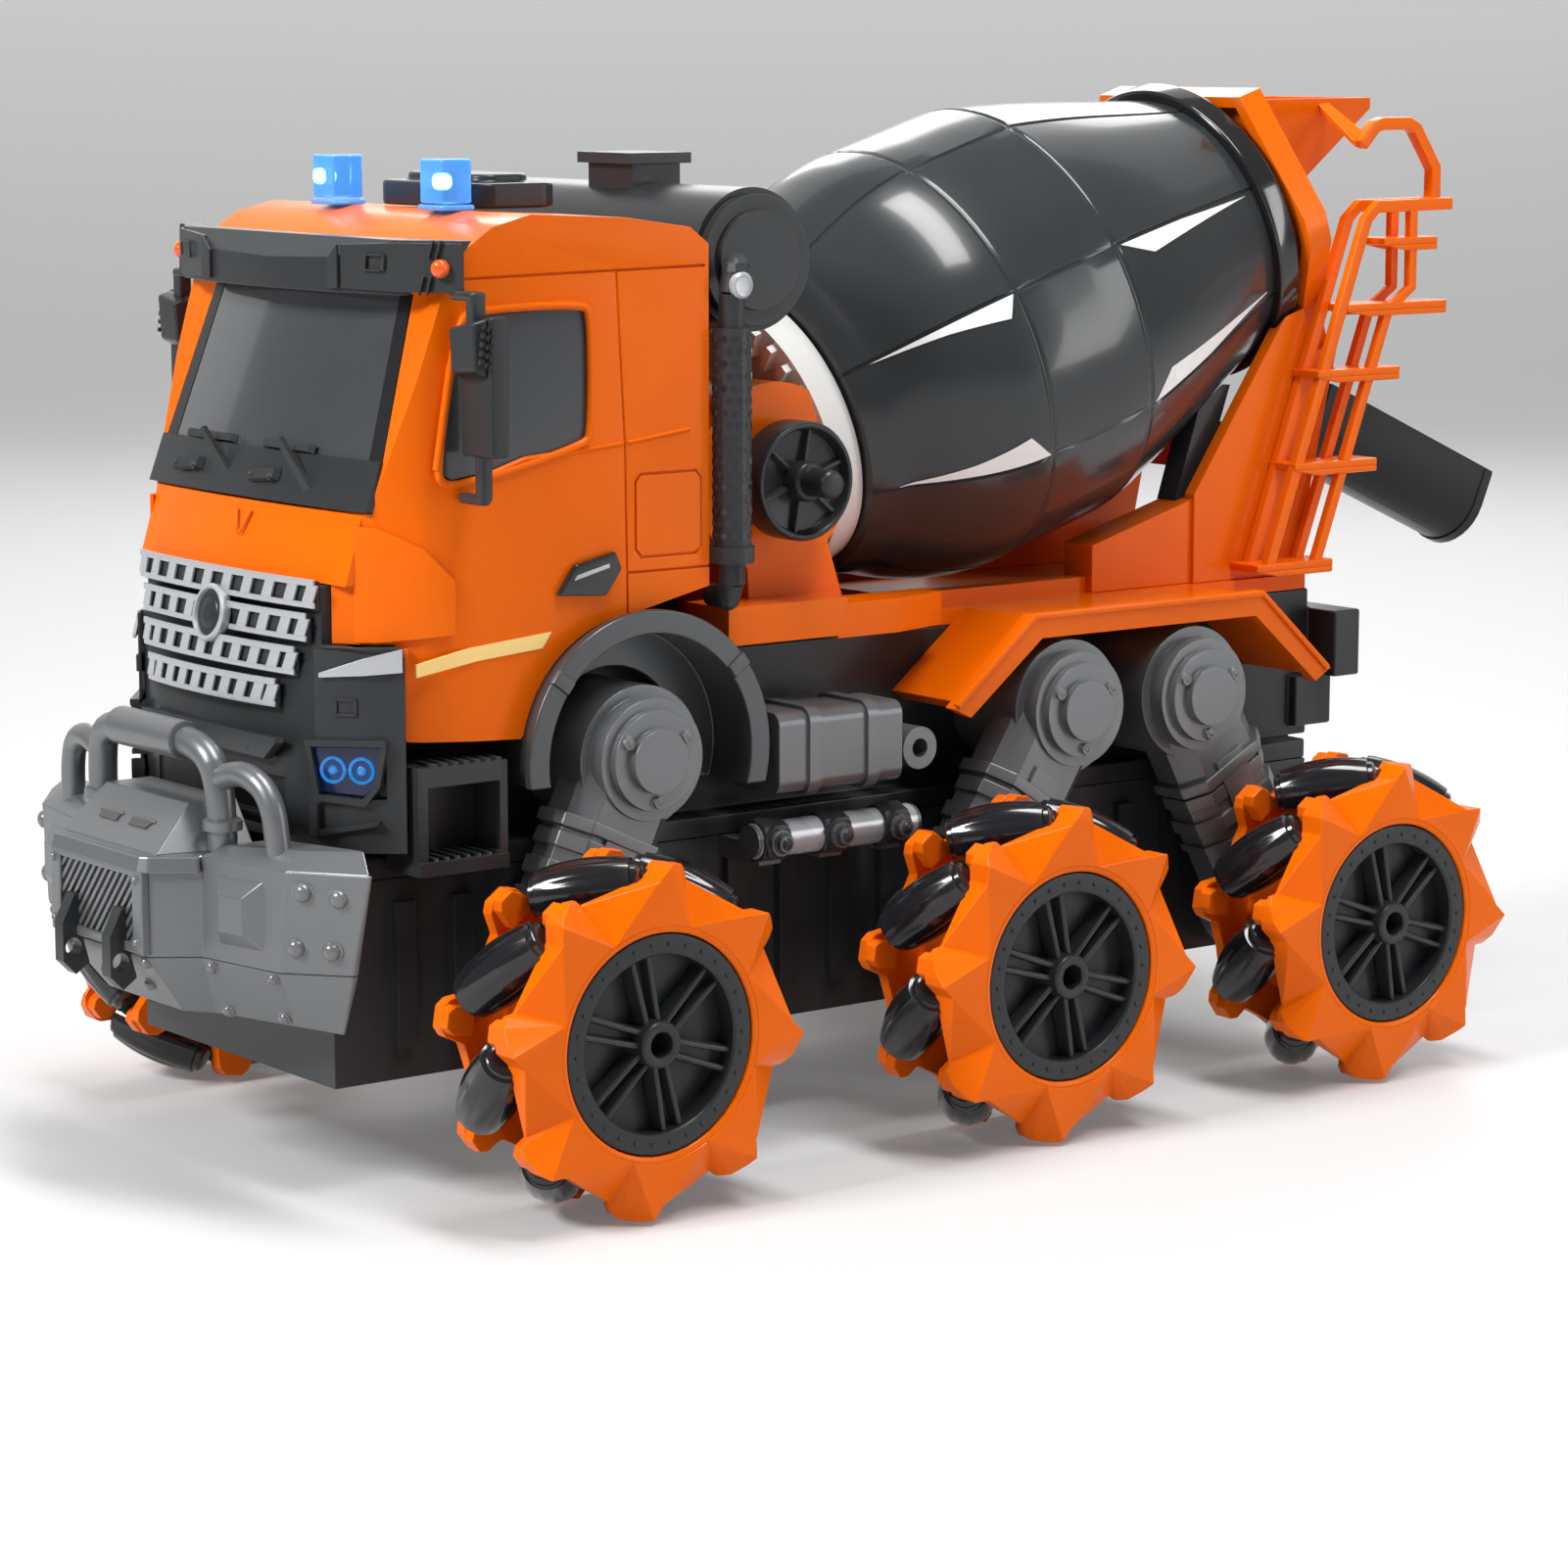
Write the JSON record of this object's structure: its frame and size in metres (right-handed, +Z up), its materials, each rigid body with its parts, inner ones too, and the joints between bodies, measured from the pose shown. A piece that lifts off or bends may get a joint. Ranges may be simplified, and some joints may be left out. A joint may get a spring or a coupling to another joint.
{
  "type": "toy cement mixer truck",
  "caption": "Toy cement mixer truck on roller wheels: tilted cab-over body, turning drum with hand wheel and crown gear, hopper, ladder and swivel chute.",
  "frame": {"origin": "on the ground, under the middle of the truck's length and width", "axes": "+X to the truck's left side, +Y to its rear (the chute), +Z up; the cab faces -Y"},
  "size_m": [0.162, 0.3408, 0.1919],
  "materials": {
    "body_plastic": "glossy orange moulded plastic",
    "grey_plastic": "satin mid-grey moulded plastic",
    "dark_plastic": "satin dark grey moulded plastic",
    "drum_plastic": "glossy dark grey, white wedge decals",
    "ring_black": "glossy black",
    "gear_white": "off-white acetal, semi-gloss",
    "roller_black": "glossy black rollers",
    "silver_plastic": "silver-grey painted plastic",
    "smoked_glazing": "smoked grey, opaque",
    "beacon_lens": "translucent blue with a white lamp inside",
    "headlight_lens": "clear lens over a blue lamp",
    "handle_black": "gloss black",
    "battery_wrap": "blue shrink wrap",
    "board_green": "solder mask",
    "motor_steel": "plated steel cans",
    "switch_red": "red thumb slider"
  },
  "bodies": {
    "root": {"chassis_tub": "dark_plastic", "chassis_frame": "dark_plastic", "battery_pack": "battery_wrap", "battery_door": "dark_plastic", "circuit_board": "board_green", "drive_motors": "motor_steel", "front_gearboxes": "grey_plastic", "rear_gearboxes": "grey_plastic", "bumper": "grey_plastic", "bull_bar": "grey_plastic", "tow_hooks": "dark_plastic", "cab_shell": "body_plastic", "cab_fascia": "dark_plastic", "grille": "silver_plastic", "windscreen": "smoked_glazing", "side_windows": "smoked_glazing", "sun_visor": "dark_plastic", "mirrors": "dark_plastic", "beacons": "beacon_lens", "roof_unit": "dark_plastic", "headlights": "headlight_lens", "door_handles": "handle_black", "cab_steps": "dark_plastic", "wheel_arches": "grey_plastic", "water_tank": "dark_plastic", "exhaust_stack": "dark_plastic", "drum_pedestal": "body_plastic", "gear_cover": "body_plastic", "deck": "body_plastic", "rear_frame": "body_plastic", "charge_hopper": "body_plastic", "ladder": "body_plastic", "drum_saddles": "dark_plastic", "chute_bracket": "dark_plastic", "side_tanks": "grey_plastic"},
    "wheel_front_left": {"wheel_front_left": "body_plastic", "rim_front_left": "dark_plastic", "rollers_front_left": "roller_black"},
    "wheel_front_right": {"wheel_front_right": "body_plastic", "rim_front_right": "dark_plastic", "rollers_front_right": "roller_black"},
    "wheel_middle_left": {"wheel_middle_left": "body_plastic", "rim_middle_left": "dark_plastic", "rollers_middle_left": "roller_black"},
    "wheel_middle_right": {"wheel_middle_right": "body_plastic", "rim_middle_right": "dark_plastic", "rollers_middle_right": "roller_black"},
    "wheel_rear_left": {"wheel_rear_left": "body_plastic", "rim_rear_left": "dark_plastic", "rollers_rear_left": "roller_black"},
    "wheel_rear_right": {"wheel_rear_right": "body_plastic", "rim_rear_right": "dark_plastic", "rollers_rear_right": "roller_black"},
    "drum": {"drum_shell": "drum_plastic", "ring_gear": "gear_white", "rolling_ring": "ring_black"},
    "hand_drive": {"hand_wheel": "dark_plastic", "pinion_shaft": "gear_white"},
    "chute": {"chute": "dark_plastic"},
    "switch": {"power_switch": "switch_red"}
  },
  "joints": [
    {"name": "spin_front_left", "type": "hinge", "parent": "root", "child": "wheel_front_left", "pos_m": [0.068, -0.1034, 0.03155], "axis": [1, 0, 0], "continuous": true},
    {"name": "spin_front_right", "type": "hinge", "parent": "root", "child": "wheel_front_right", "pos_m": [-0.068, -0.1034, 0.03155], "axis": [1, 0, 0], "continuous": true},
    {"name": "spin_middle_left", "type": "hinge", "parent": "root", "child": "wheel_middle_left", "pos_m": [0.068, -0.0109, 0.03155], "axis": [1, 0, 0], "continuous": true},
    {"name": "spin_middle_right", "type": "hinge", "parent": "root", "child": "wheel_middle_right", "pos_m": [-0.068, -0.0109, 0.03155], "axis": [1, 0, 0], "continuous": true},
    {"name": "spin_rear_left", "type": "hinge", "parent": "root", "child": "wheel_rear_left", "pos_m": [0.068, 0.0716, 0.03155], "axis": [1, 0, 0], "continuous": true},
    {"name": "spin_rear_right", "type": "hinge", "parent": "root", "child": "wheel_rear_right", "pos_m": [-0.068, 0.0716, 0.03155], "axis": [1, 0, 0], "continuous": true},
    {"name": "drum_spin", "type": "hinge", "parent": "root", "child": "drum", "pos_m": [0, 0.0137, 0.1383], "axis": [0, 0.9532, 0.3024], "continuous": true},
    {"name": "hand_wheel_spin", "type": "hinge", "parent": "root", "child": "hand_drive", "pos_m": [0.036, -0.04092, 0.12097], "axis": [1, 0, 0], "continuous": true},
    {"name": "chute_swivel", "type": "hinge", "parent": "root", "child": "chute", "pos_m": [0, 0.1096, 0.113], "axis": [0, 0, 1], "range_deg": [-30, 30]},
    {"name": "power_switch_slide", "type": "slide", "parent": "root", "child": "switch", "axis": [0, 1, 0], "range_m": [0, 0.005]}
  ],
  "couplings": [
    {"joint": "hand_wheel_spin", "follows": "drum_spin", "ratio": -1.8}
  ]
}
